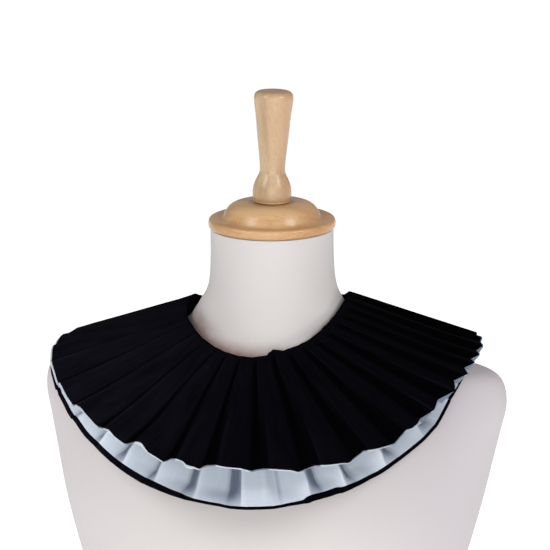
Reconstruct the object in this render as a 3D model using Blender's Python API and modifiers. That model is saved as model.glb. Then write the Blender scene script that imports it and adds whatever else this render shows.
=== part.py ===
"""Two-tier pleated ruff collar on a neck-and-shoulder dress form.

Metres, +Z up.  The form stands on z = 0 and faces -Y.  The collar has an upper
tier (black cloth backed with white) and a lower tier (white cloth backed with
black).  Both tiers hang from one narrow neck band, which opens at the centre
back and closes there with a hook and eye.

An azimuth is measured round the neck: 0 degrees is the centre front, positive
azimuths are at +X, and +-180 degrees is the centre back.
"""

import math

import bmesh
import bpy
from mathutils import Matrix, Vector

MM = 0.001

# ---------------------------------------------------------------- dimensions
UPPER_LENGTH = 127 * MM      # neck seam to the outer hem (5 in)
LOWER_LENGTH = 130 * MM
CLOTH = 1.1 * MM             # one pleated cloth
LAYER_GAP = 0.35 * MM        # between a face cloth and its backing
PIECE_GAP = 0.3 * MM         # between pieces that meet at a seam
UPPER_BACKING_RIM = 1.0 * MM  # white backing past the black face
LOWER_BACKING_RIM = 3.0 * MM  # black backing past the white face
NECK_PLEAT_DEPTH = 1.8 * MM  # every pleat starts this shallow at the neck seam
HEM_ROWS = 3                 # facets from neck seam to hem
HEM_EASE = {"upper": 0.85, "lower": 0.5}  # share of its depth that a pleat keeps at the hem

NECKLINE_CENTRE = (-4 * MM, 0.0)  # the collar lies a little to one side
NECKLINE_RX = 74.5 * MM
NECKLINE_RY = 76.5 * MM
BAND_THICKNESS = 1.2 * MM
BACK_OPENING = 2.0 * MM      # slit at the centre back
BAND_FACETS = 48

WIRE = 0.45 * MM             # radius of the hook and eye wire
EYE_RADIUS = 2.3 * MM
WIRE_CLEARANCE = 0.6 * MM    # the band is faceted, so the wires stand a little off it

CENTRE_SHIFT = (0.0, 1.69 * MM)    # puts the middle of the whole piece on the Z axis

NECK_TOP = 674.0 * MM        # flat top of the form's neck, on its axis
CAP_STEPS = 40
HANDLE_STEPS = 28
HANDLE_LEAN = 1.25           # degrees, towards +X
CAP_TILT = 1.4               # degrees, the cap and the neck's top lower at the front
FORM_FACETS = 32

# Course of the collar round the neck.
#   azimuth deg | rim height mm | drop of the lower tier mm | slope of the upper
#   tier deg | slope of the lower tier deg
COURSE_COLUMNS = ("azimuth", "rim", "drop", "upper", "lower")
COURSE = (
    (-180, 597.0, 8.0, 33.0, 50.0),
    (-160, 596.0, 8.0, 31.0, 48.0),
    (-140, 595.5, 8.0, 27.0, 42.0),
    (-120, 598.0, 7.5, 22.5, 31.0),
    (-100, 605.0, 6.0, 20.0, 21.0),
    (-80, 596.5, 6.0, 17.5, 18.5),
    (-60, 593.0, 7.5, 24.5, 32.5),
    (-40, 583.0, 8.0, 27.0, 46.5),
    (-20, 575.5, 8.0, 30.0, 50.5),
    (0, 573.0, 8.0, 30.5, 52.5),
    (20, 578.5, 8.0, 33.5, 53.5),
    (40, 586.5, 8.0, 33.5, 52.0),
    (60, 600.5, 8.0, 29.5, 42.0),
    (80, 613.0, 7.5, 22.0, 26.0),
    (100, 614.0, 7.5, 20.5, 22.5),
    (120, 605.0, 8.0, 22.0, 30.0),
    (140, 600.0, 8.0, 26.0, 40.0),
    (160, 598.0, 8.0, 31.0, 47.0),
)

# Valleys between the pleats, one row a pleat.
#   azimuth at the neck seam deg | azimuth at the hem deg | depth towards the hem mm
UPPER_PLEATS = (
    (-170.0, -170.5, 6.0), (-160.0, -161.0, 8.0), (-150.0, -151.5, 7.0),
    (-139.5, -142.0, 8.0), (-129.0, -132.0, 6.5), (-119.0, -122.5, 6.0),
    (-108.5, -113.0, 4.5), (-98.0, -103.5, 3.5), (-88.0, -94.0, 3.0),
    (-78.0, -85.0, 3.0), (-68.0, -76.0, 4.0), (-58.0, -65.0, 6.0),
    (-48.0, -53.0, 7.0), (-38.0, -39.0, 7.0), (-27.0, -29.5, 8.0),
    (-19.0, -17.0, 9.0), (-9.0, -7.0, 8.0), (1.0, 6.0, 9.0),
    (12.0, 19.5, 9.5), (22.5, 34.0, 9.0), (32.0, 46.0, 8.5),
    (41.0, 57.0, 8.0), (49.5, 65.0, 7.5), (58.0, 72.0, 7.0),
    (65.0, 77.5, 6.5), (72.0, 82.0, 6.0), (79.0, 88.0, 6.0),
    (89.0, 97.0, 6.5), (99.0, 106.5, 7.0), (109.5, 116.0, 8.0),
    (120.0, 125.5, 7.0), (130.0, 135.0, 8.5), (140.0, 144.0, 7.0),
    (150.0, 153.5, 8.0), (160.0, 162.5, 7.5),
)
LOWER_PLEATS = (
    (-169.0, -169.5, 7.0), (-158.0, -159.5, 8.0), (-147.5, -150.0, 7.0),
    (-137.0, -140.0, 7.5), (-126.5, -130.0, 6.0), (-116.0, -120.5, 5.0),
    (-105.5, -111.0, 3.5), (-95.0, -101.0, 3.0), (-84.0, -90.5, 3.0),
    (-73.0, -80.0, 3.5), (-62.5, -70.0, 5.0), (-54.0, -60.5, 7.0),
    (-46.5, -51.5, 7.5), (-40.5, -44.0, 7.0), (-30.5, -31.0, 8.5),
    (-19.0, -17.5, 9.0), (-8.0, -2.5, 9.0), (3.0, 12.5, 6.0),
    (12.5, 25.5, 9.0), (23.5, 38.0, 8.5), (34.5, 51.0, 9.0),
    (46.5, 63.5, 7.0), (56.5, 72.5, 6.0), (68.0, 81.0, 5.0),
    (80.0, 90.0, 4.5), (91.0, 100.0, 5.0), (102.0, 110.0, 6.0),
    (113.0, 120.0, 7.0), (123.5, 130.0, 7.0), (134.0, 140.0, 8.0),
    (145.5, 150.0, 7.0), (157.0, 160.0, 8.0),
)
LOWER_BOX_PLEAT = -2.5       # azimuth at the hem: the lower tier's pleats turn both ways from it
# Height across one pleat, as a share of its depth: (share of the pitch, height).
# A left fold has its steep side towards -azimuth, a right fold towards +azimuth.
FOLDS = {
    "left": ((0.0, -0.5), (0.24, 0.5), (0.62, 0.14)),
    "box": ((0.0, -0.5), (0.24, 0.5), (0.76, 0.5)),
    "right": ((0.0, -0.5), (0.38, 0.14), (0.76, 0.5)),
}

# Sections of the dress form, from the top of the neck down.
#   height mm | half width mm | front depth mm | back depth mm | share by which
#   the four corners between front and side are drawn in
FORM_COLUMNS = ("height", "half", "front", "back", "corner")
FORM_SECTIONS = (
    (674.0, 55.3, 55.3, 55.3, 0.0),
    (655.0, 55.4, 55.6, 55.6, 0.0),
    (635.0, 56.2, 56.5, 56.8, 0.0),
    (622.0, 58.0, 57.8, 58.8, 0.0),
    (614.0, 61.0, 58.6, 60.0, 0.01),
    (606.0, 65.8, 59.4, 61.5, 0.03),
    (598.0, 70.8, 60.4, 63.3, 0.06),
    (590.0, 76.2, 61.4, 65.2, 0.09),
    (585.0, 82.0, 62.2, 66.8, 0.11),
    (581.0, 93.0, 63.2, 69.0, 0.125),
    (575.0, 110.0, 64.6, 72.0, 0.135),
    (569.0, 130.0, 66.5, 75.5, 0.14),
    (562.0, 154.0, 69.7, 79.0, 0.14),
    (556.5, 174.0, 73.0, 82.0, 0.14),
    (552.0, 188.0, 76.0, 84.5, 0.14),
    (548.5, 199.0, 79.0, 86.5, 0.14),
    (543.5, 206.5, 82.0, 88.6, 0.135),
    (534.0, 211.8, 87.5, 91.6, 0.115),
    (517.0, 213.5, 96.0, 95.6, 0.075),
    (495.0, 209.0, 106.0, 99.5, 0.03),
    (465.0, 202.5, 116.0, 103.5, -0.005),
    (430.0, 195.0, 122.5, 105.5, -0.03),
    (390.0, 185.0, 125.0, 105.0, -0.035),
    (340.0, 171.0, 121.0, 100.5, -0.035),
    (290.0, 158.5, 111.5, 93.0, -0.03),
    (245.0, 151.0, 104.0, 88.5, -0.03),
    (210.0, 151.0, 103.0, 91.0, -0.03),
    (165.0, 160.0, 107.5, 99.5, -0.03),
    (110.0, 173.0, 113.0, 108.5, -0.03),
    (55.0, 181.5, 116.5, 112.0, -0.03),
    (3.0, 183.5, 117.5, 112.5, -0.03),
    (0.0, 181.0, 115.0, 110.0, -0.03),
)
FORM_CENTRE_Y = 5 * MM       # the shoulder ridge lies a little behind the neck axis

# Turned neck cap, top of the axis down its outside.  radius mm | height mm
CAP_PROFILE = (
    (0.0, 697.3), (24.0, 697.25), (29.5, 697.0), (32.8, 696.4), (35.8, 695.1),
    (38.2, 693.4), (40.2, 691.3), (41.8, 688.9), (43.0, 686.2), (43.7, 683.8),
    (44.0, 682.2), (49.5, 682.4), (54.6, 682.9), (56.0, 682.4), (56.9, 680.6),
    (57.0, 678.2), (56.6, 675.8), (54.8, 674.3), (0.0, 674.3),
)
# Turned handle, same order.
HANDLE_PROFILE = (
    (0.0, 798.4), (11.5, 798.2), (14.8, 797.2), (16.8, 795.0), (17.5, 791.8),
    (17.4, 788.6), (16.4, 780.8), (15.3, 771.6), (14.5, 762.4), (13.6, 753.2),
    (12.6, 744.1), (11.7, 734.9), (11.3, 728.5), (11.5, 724.8), (12.6, 721.7),
    (14.4, 718.2), (15.9, 714.5), (16.9, 711.0), (17.35, 706.5), (17.2, 702.5),
    (16.6, 699.6), (15.8, 697.7), (0.0, 697.7),
)

# ----------------------------------------------------------------- materials
# name: base colour, roughness
FINISHES = {
    "black_cloth": ((0.008, 0.009, 0.013), 0.85),
    "white_cloth": ((0.64, 0.68, 0.76), 0.8),
    "jersey": ((0.70, 0.67, 0.66), 0.9),
    "beech": ((0.66, 0.42, 0.20), 0.35),
    "steel_wire": ((0.05, 0.05, 0.055), 0.4),
}


def finish(name, owner):
    colour, roughness = FINISHES[name]
    material = bpy.data.materials.new(owner + "_" + name)
    material.use_nodes = True
    shader = material.node_tree.nodes["Principled BSDF"]
    shader.inputs["Base Color"].default_value = (*colour, 1.0)
    shader.inputs["Roughness"].default_value = roughness
    shader.inputs["Metallic"].default_value = 0.9 if name == "steel_wire" else 0.0
    return material


def add_object(name, data, material):
    data.materials.append(material)
    obj = bpy.data.objects.new(name, data)
    COLLECTION.objects.link(obj)
    obj.parent = ROOT
    return obj


def mesh_from(bm, name):
    mesh = bpy.data.meshes.new(name)
    bm.to_mesh(mesh)
    bm.free()
    mesh.shade_smooth()
    mesh.set_sharp_from_angle(angle=math.radians(35))
    return mesh


# ------------------------------------------------------------ collar surface
def course(name, azimuth):
    """A column of COURSE at any azimuth, on a smooth closed curve through its rows."""
    column = COURSE_COLUMNS.index(name)
    step = 360.0 / len(COURSE)
    place = ((azimuth + 180.0) % 360.0) / step
    row = int(place)
    t = place - row
    a, b, c, d = (COURSE[(row + k) % len(COURSE)][column] for k in (-1, 0, 1, 2))
    return 0.5 * (
        2 * b + (c - a) * t + (2 * a - 5 * b + 4 * c - d) * t**2 + (3 * b - a - 3 * c + d) * t**3
    )


def outward(azimuth):
    angle = math.radians(azimuth)
    return Vector((math.sin(angle), -math.cos(angle), 0.0))


def neckline(azimuth, drop=0.0):
    direction = outward(azimuth)
    return Vector((
        NECKLINE_CENTRE[0] + NECKLINE_RX * direction.x,
        NECKLINE_CENTRE[1] + NECKLINE_RY * direction.y,
        course("rim", azimuth) * MM - drop,
    ))


def tier_length(tier):
    return UPPER_LENGTH if tier == "upper" else LOWER_LENGTH


def tier_drop(tier, azimuth):
    return course("drop", azimuth) * MM if tier == "lower" else 0.0


def hem(tier, azimuth):
    slope = math.radians(course(tier, azimuth))
    run = outward(azimuth) * math.cos(slope) - Vector((0, 0, math.sin(slope)))
    return neckline(azimuth, tier_drop(tier, azimuth)) + run * tier_length(tier)


def tier_point(tier, at_neck, at_hem, share, lift):
    """A point of a tier.

    share is 0 at the neck seam and 1 at the hem, along one straight pleat line.
    lift is the distance from the tier's middle surface, upwards: it is measured
    straight up at the neck seam, where all the cloths end in the band's face,
    and square to the cloth further out.
    """
    start = neckline(at_neck, tier_drop(tier, at_neck))
    end = hem(tier, at_hem)
    slope = math.radians(course(tier, at_neck + (at_hem - at_neck) * share))
    middle = outward(at_neck + (at_hem - at_neck) * share)
    normal = middle * math.sin(slope) + Vector((0, 0, math.cos(slope)))
    blend = min(max(share, 0.0) / 0.3, 1.0)
    direction = Vector((0, 0, 1)) * (1 - blend) + normal * blend
    direction /= direction.dot(normal)
    return start + (end - start) * share + direction * lift


def fold_of(tier, at_hem):
    if tier == "upper" or at_hem < LOWER_BOX_PLEAT:
        return "left"
    return "box" if at_hem == LOWER_BOX_PLEAT else "right"


def pleat_lines(tier):
    """(azimuth at neck, azimuth at hem, height share, depth) for every fold line."""
    pleats = UPPER_PLEATS if tier == "upper" else LOWER_PLEATS
    half_neck = math.degrees(0.5 * BACK_OPENING / NECKLINE_RY)
    half_hem = math.degrees(0.5 * BACK_OPENING / (NECKLINE_RY + UPPER_LENGTH * 0.8))
    rows = [(-180 + half_neck, -180 + half_hem, pleats[0][2])]
    rows += list(pleats)
    rows.append((180 - half_neck, 180 - half_hem, pleats[-1][2]))
    lines = []
    for here, after in zip(rows[:-1], rows[1:]):
        for share, height in FOLDS[fold_of(tier, here[1])]:
            lines.append((
                here[0] + (after[0] - here[0]) * share,
                here[1] + (after[1] - here[1]) * share,
                height,
                (here[2] + (after[2] - here[2]) * share) * MM,
            ))
    lines.append((rows[-1][0], rows[-1][1], -0.5, rows[-1][2] * MM))
    return lines


def sheet_wall(columns, rows, point, thickness, name):
    """A closed wall: a grid laid on point(column, row, 0), as thick as its lift."""
    bm = bmesh.new()
    bmesh.ops.create_grid(bm, x_segments=columns, y_segments=rows, size=0.5)
    inner = bmesh.ops.extrude_face_region(bm, geom=bm.faces[:])
    inner = {item for item in inner["geom"] if isinstance(item, bmesh.types.BMVert)}
    for vert in bm.verts:
        column = round((vert.co.x + 0.5) * columns)
        row = round((vert.co.y + 0.5) * rows)
        vert.co = point(column, row, -thickness if vert in inner else 0.0)
    bmesh.ops.recalc_face_normals(bm, faces=bm.faces)
    if bm.calc_volume(signed=True) < 0:
        bmesh.ops.reverse_faces(bm, faces=bm.faces)
    return mesh_from(bm, name)


def cloth(name, tier, depth_below, reach, material):
    """One pleated cloth of a tier, its upper side depth_below the tier's face."""
    lines = pleat_lines(tier)

    def point(column, row, lift):
        at_neck, at_hem, height, depth = lines[column]
        share = row / HEM_ROWS
        deep = NECK_PLEAT_DEPTH + (depth - NECK_PLEAT_DEPTH) * share
        if row == HEM_ROWS:
            deep *= HEM_EASE[tier]
        return tier_point(
            tier, at_neck, at_hem, share * reach / tier_length(tier),
            height * deep - depth_below + lift,
        )

    mesh = sheet_wall(len(lines) - 1, HEM_ROWS, point, CLOTH, name)
    return add_object(name, mesh, material)


# ----------------------------------------------------------------- neck band
def neck_band(material):
    """A narrow upright strip just inside the neck ends of all four cloths."""
    half = math.degrees(0.5 * BACK_OPENING / NECKLINE_RY)
    stack = 2 * CLOTH + LAYER_GAP

    def point(column, row, lift):
        azimuth = -180 + half + (360 - 2 * half) * column / BAND_FACETS
        radius = PIECE_GAP - lift
        top = neckline(azimuth).z + 0.5 * NECK_PLEAT_DEPTH + 0.3 * MM
        slope = math.radians(course("lower", azimuth))
        bottom = neckline(azimuth, tier_drop("lower", azimuth)).z
        bottom -= 0.5 * NECK_PLEAT_DEPTH + stack / math.cos(slope)
        place = neckline(azimuth) - outward(azimuth) * radius
        place.z = top + (bottom - top) * row
        return place

    mesh = sheet_wall(BAND_FACETS, 1, point, BAND_THICKNESS, "neck_band")
    return add_object("neck_band", mesh, material)


# --------------------------------------------------------------- hook and eye
def wire(name, points, cyclic, material):
    data = bpy.data.curves.new(name, "CURVE")
    data.dimensions = "3D"
    data.bevel_depth = WIRE
    data.bevel_resolution = 2
    data.use_fill_caps = not cyclic
    spline = data.splines.new("POLY")
    spline.points.add(len(points) - 1)
    for spot, place in zip(spline.points, points):
        spot.co = (*place, 1.0)
    spline.use_cyclic_u = cyclic
    return add_object(name, data, material)


def hook_and_eye(material_hook, material_eye):
    """They lie on the band's inner face and meet across the slit."""
    back = neckline(180)
    inner_y = back.y - PIECE_GAP - BAND_THICKNESS
    plane_y = inner_y - WIRE_CLEARANCE - WIRE
    z = back.z - 5 * MM
    centre = Vector((back.x + 3.6 * MM, plane_y, z))
    loop = [
        centre + Vector((math.cos(a), 0, math.sin(a))) * EYE_RADIUS
        for a in (2 * math.pi * k / 16 for k in range(16))
    ]
    wire("eye", loop, True, material_eye)
    # x across the slit, y away from the band
    bends = ((-7.0, 0.0), (-1.2, 0.0), (0.0, -1.2), (1.3, -1.55), (2.6, -1.5), (3.4, -0.9), (3.5, -0.1))
    wire(
        "hook",
        [Vector((back.x + x * MM, plane_y + y * MM, z)) for x, y in bends],
        False,
        material_hook,
    )


# ---------------------------------------------------------------- dress form
def form_ring(section):
    values = dict(zip(FORM_COLUMNS, section))
    ring = []
    for k in range(FORM_FACETS):
        angle = 2 * math.pi * k / FORM_FACETS
        across, along = math.sin(angle), -math.cos(angle)
        reach = 1.0 - values["corner"] * math.sin(2 * angle) ** 2
        centre = FORM_CENTRE_Y / MM
        if values["height"] > 600:
            centre *= (NECK_TOP / MM - values["height"]) / (NECK_TOP / MM - 600)
        depth = values["front"] + centre if along < 0 else values["back"] - centre
        forward = (centre + along * reach * depth) * MM
        height = values["height"] * MM
        if height >= NECK_TOP:
            height += forward * math.tan(math.radians(CAP_TILT))
        ring.append(Vector((across * reach * values["half"] * MM, forward, height)))
    return ring


def dress_form(material):
    bm = bmesh.new()
    rings = [[bm.verts.new(place) for place in form_ring(row)] for row in FORM_SECTIONS]
    for upper, lower in zip(rings[:-1], rings[1:]):
        for k in range(FORM_FACETS):
            after = (k + 1) % FORM_FACETS
            bm.faces.new((upper[k], upper[after], lower[after], lower[k]))
    bm.faces.new(rings[0])
    bm.faces.new(rings[-1])
    bmesh.ops.recalc_face_normals(bm, faces=bm.faces)
    return add_object("form_torso", mesh_from(bm, "form_torso"), material)


def turned(name, profile, steps, material):
    bm = bmesh.new()
    verts = [bm.verts.new((radius * MM, 0.0, height * MM)) for radius, height in profile]
    for a, b in zip(verts[:-1], verts[1:]):
        bm.edges.new((a, b))
    mesh = bpy.data.meshes.new(name)
    bm.to_mesh(mesh)
    bm.free()
    obj = add_object(name, mesh, material)
    screw = obj.modifiers.new("Turn", "SCREW")
    screw.axis = "Z"
    screw.angle = 2 * math.pi
    screw.steps = screw.render_steps = steps
    screw.use_merge_vertices = True
    screw.merge_threshold = 0.00001
    screw.use_smooth_shade = True
    return obj


# --------------------------------------------------------------------- build
for old in list(bpy.data.objects):
    bpy.data.objects.remove(old, do_unlink=True)

COLLECTION = bpy.data.collections.new("ruff_collar_on_form")
bpy.context.scene.collection.children.link(COLLECTION)
ROOT = bpy.data.objects.new("ruff_collar_root", None)
COLLECTION.objects.link(ROOT)
ROOT.location = (CENTRE_SHIFT[0], CENTRE_SHIFT[1], 0.0)

BACKING = CLOTH + LAYER_GAP
cloth("upper_frill_black", "upper", 0.0, UPPER_LENGTH, finish("black_cloth", "upper"))
cloth(
    "upper_frill_white", "upper", BACKING, UPPER_LENGTH + UPPER_BACKING_RIM,
    finish("white_cloth", "upper"),
)
cloth(
    "lower_frill_white", "lower", 0.0, LOWER_LENGTH - LOWER_BACKING_RIM,
    finish("white_cloth", "lower"),
)
cloth("lower_frill_black", "lower", BACKING, LOWER_LENGTH, finish("black_cloth", "lower"))
neck_band(finish("black_cloth", "band"))
hook_and_eye(finish("steel_wire", "hook"), finish("steel_wire", "eye"))

dress_form(finish("jersey", "form"))
cap = turned("form_neck_cap", CAP_PROFILE, CAP_STEPS, finish("beech", "cap"))
seat = Vector((0, 0, CAP_PROFILE[-1][1] * MM))
tilted = (
    Matrix.Translation(seat)
    @ Matrix.Rotation(math.radians(CAP_TILT), 4, "X")
    @ Matrix.Translation(-seat)
)
cap.matrix_local = tilted
handle = turned("form_handle", HANDLE_PROFILE, HANDLE_STEPS, finish("beech", "handle"))
foot = Vector((0, 0, HANDLE_PROFILE[-1][1] * MM))
handle.matrix_local = (
    tilted
    @ Matrix.Translation(foot)
    @ Matrix.Rotation(math.radians(HANDLE_LEAN), 4, "Y")
    @ Matrix.Translation(-foot)
)
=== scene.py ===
"""Looks of the two-tier pleated ruff collar on its dress form.

Metres, +Z up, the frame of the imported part.  An azimuth is measured round the
neck: 0 degrees is the centre front, positive azimuths are at +X, and +-180
degrees is the centre back.
"""

import math

import bpy
import numpy as np
from mathutils import Matrix, Vector


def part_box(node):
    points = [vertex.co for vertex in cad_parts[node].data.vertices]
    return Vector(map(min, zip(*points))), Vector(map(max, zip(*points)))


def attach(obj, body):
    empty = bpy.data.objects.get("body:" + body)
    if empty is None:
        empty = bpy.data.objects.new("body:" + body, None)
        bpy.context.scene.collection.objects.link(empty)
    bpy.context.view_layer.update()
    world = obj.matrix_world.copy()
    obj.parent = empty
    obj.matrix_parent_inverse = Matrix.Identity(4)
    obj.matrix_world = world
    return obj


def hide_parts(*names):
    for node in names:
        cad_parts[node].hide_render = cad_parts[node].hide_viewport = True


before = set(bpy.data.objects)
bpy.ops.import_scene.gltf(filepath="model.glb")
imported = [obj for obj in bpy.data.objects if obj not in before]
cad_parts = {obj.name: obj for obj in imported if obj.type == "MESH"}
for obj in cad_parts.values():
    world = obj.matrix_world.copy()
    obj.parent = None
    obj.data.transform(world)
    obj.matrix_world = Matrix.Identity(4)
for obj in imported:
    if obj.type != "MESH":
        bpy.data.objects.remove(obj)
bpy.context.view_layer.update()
MM = 0.001

# ------------------------------------------------------------------- camera
SHIFT_Y = 1.69 * MM          # the neck axis in the part's frame


def place_camera():
    azimuth, elevation, distance = math.radians(10), math.radians(13), 1.8
    right = Vector((math.cos(azimuth), math.sin(azimuth), 0))
    back = Vector((
        math.sin(azimuth) * math.cos(elevation),
        -math.cos(azimuth) * math.cos(elevation),
        math.sin(elevation),
    ))
    data = bpy.data.cameras.new("camera")
    data.sensor_width = 36.0
    data.lens = 36.0 * 2000 / 550
    data.clip_start, data.clip_end = 0.05, 100
    camera = bpy.data.objects.new("camera", data)
    bpy.context.scene.collection.objects.link(camera)
    camera.location = Vector((0, SHIFT_Y, 0.630)) + right * 0.0027 + back * distance
    camera.rotation_euler = (-back).to_track_quat("-Z", "Y").to_euler()
    bpy.context.scene.camera = camera


place_camera()

# --------------------------------------------------- sizes, as in the solids
UPPER_LENGTH = 127 * MM
LOWER_LENGTH = 130 * MM
CLOTH = 0.55 * MM            # the real thickness of one pleated cotton
LAYER_GAP = 0.15 * MM
PIECE_GAP = 0.3 * MM
NECK_PLEAT_DEPTH = 1.6 * MM
NECKLINE_CENTRE = (-4 * MM, 0.0)
NECKLINE_RX = 74.5 * MM
NECKLINE_RY = 76.5 * MM
BAND_THICKNESS = 1.1 * MM
BACK_OPENING = 2.0 * MM
ROWS = 46                    # rows of the fine cloth from neck to hem

COURSE_COLUMNS = ("azimuth", "rim", "drop", "upper", "lower")
COURSE = (
    (-180, 597.0, 8.0, 33.0, 50.0),
    (-160, 596.0, 8.0, 31.0, 48.0),
    (-140, 595.5, 8.0, 27.0, 42.0),
    (-120, 598.0, 7.5, 22.5, 31.0),
    (-100, 605.0, 6.0, 20.0, 21.0),
    (-80, 596.5, 6.0, 17.5, 18.5),
    (-60, 593.0, 7.5, 24.5, 32.5),
    (-40, 583.0, 8.0, 27.0, 46.5),
    (-20, 575.5, 8.0, 30.0, 50.5),
    (0, 573.0, 8.0, 30.5, 52.5),
    (20, 578.5, 8.0, 33.5, 53.5),
    (40, 586.5, 8.0, 33.5, 52.0),
    (60, 600.5, 8.0, 29.5, 42.0),
    (80, 613.0, 7.5, 22.0, 26.0),
    (100, 614.0, 7.5, 20.5, 22.5),
    (120, 605.0, 8.0, 22.0, 30.0),
    (140, 600.0, 8.0, 26.0, 40.0),
    (160, 598.0, 8.0, 31.0, 47.0),
)

# Valleys between the pleats, one row a pleat.
#   azimuth at the neck seam deg | azimuth at the hem deg | depth at the hem mm
UPPER_PLEATS = (
    (-170.0, -170.5, 6.0), (-160.0, -161.0, 8.0), (-150.0, -151.5, 7.0),
    (-139.5, -142.0, 8.0), (-129.0, -132.0, 6.5), (-119.0, -122.5, 6.0),
    (-108.5, -113.0, 4.5), (-98.0, -103.5, 3.5), (-88.0, -94.0, 3.0),
    (-78.0, -85.0, 3.0), (-68.0, -76.0, 4.0), (-58.0, -65.0, 6.0),
    (-48.0, -53.0, 7.0), (-38.0, -39.0, 7.0), (-27.0, -29.5, 8.0),
    (-19.0, -17.0, 9.0), (-9.0, -7.0, 8.0), (1.0, 6.0, 9.0),
    (12.0, 19.5, 9.5), (22.5, 34.0, 9.0), (32.0, 46.0, 8.5),
    (41.0, 57.0, 8.0), (49.5, 65.0, 7.5), (58.0, 72.0, 7.0),
    (65.0, 77.5, 6.5), (72.0, 82.0, 6.0), (79.0, 88.0, 6.0),
    (89.0, 97.0, 6.5), (99.0, 106.5, 7.0), (109.5, 116.0, 8.0),
    (120.0, 125.5, 7.0), (130.0, 135.0, 8.5), (140.0, 144.0, 7.0),
    (150.0, 153.5, 8.0), (160.0, 162.5, 7.5),
)
LOWER_PLEATS = (
    (-169.0, -169.5, 7.0), (-158.0, -159.5, 8.0), (-147.5, -150.0, 7.0),
    (-137.0, -140.0, 7.5), (-126.5, -130.0, 6.0), (-116.0, -120.5, 5.0),
    (-105.5, -111.0, 3.5), (-95.0, -101.0, 3.0), (-84.0, -90.5, 3.0),
    (-73.0, -80.0, 3.5), (-62.5, -70.0, 5.0), (-54.0, -60.5, 7.0),
    (-46.5, -51.5, 7.5), (-40.5, -44.0, 7.0), (-30.5, -31.0, 8.5),
    (-19.0, -17.5, 9.0), (-8.0, -2.5, 9.0), (3.0, 14.5, 4.0),
    (12.5, 29.0, 9.0), (23.5, 40.0, 8.5), (34.5, 54.0, 9.0),
    (46.5, 66.0, 7.0), (56.5, 74.0, 6.0), (68.0, 81.0, 5.0),
    (80.0, 90.0, 4.5), (91.0, 100.0, 5.0), (102.0, 110.0, 6.0),
    (113.0, 120.0, 7.0), (123.5, 130.0, 7.0), (134.0, 140.0, 8.0),
    (145.5, 150.0, 7.0), (157.0, 160.0, 8.0),
)
LOWER_BOX_PLEAT = -2.5

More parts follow.
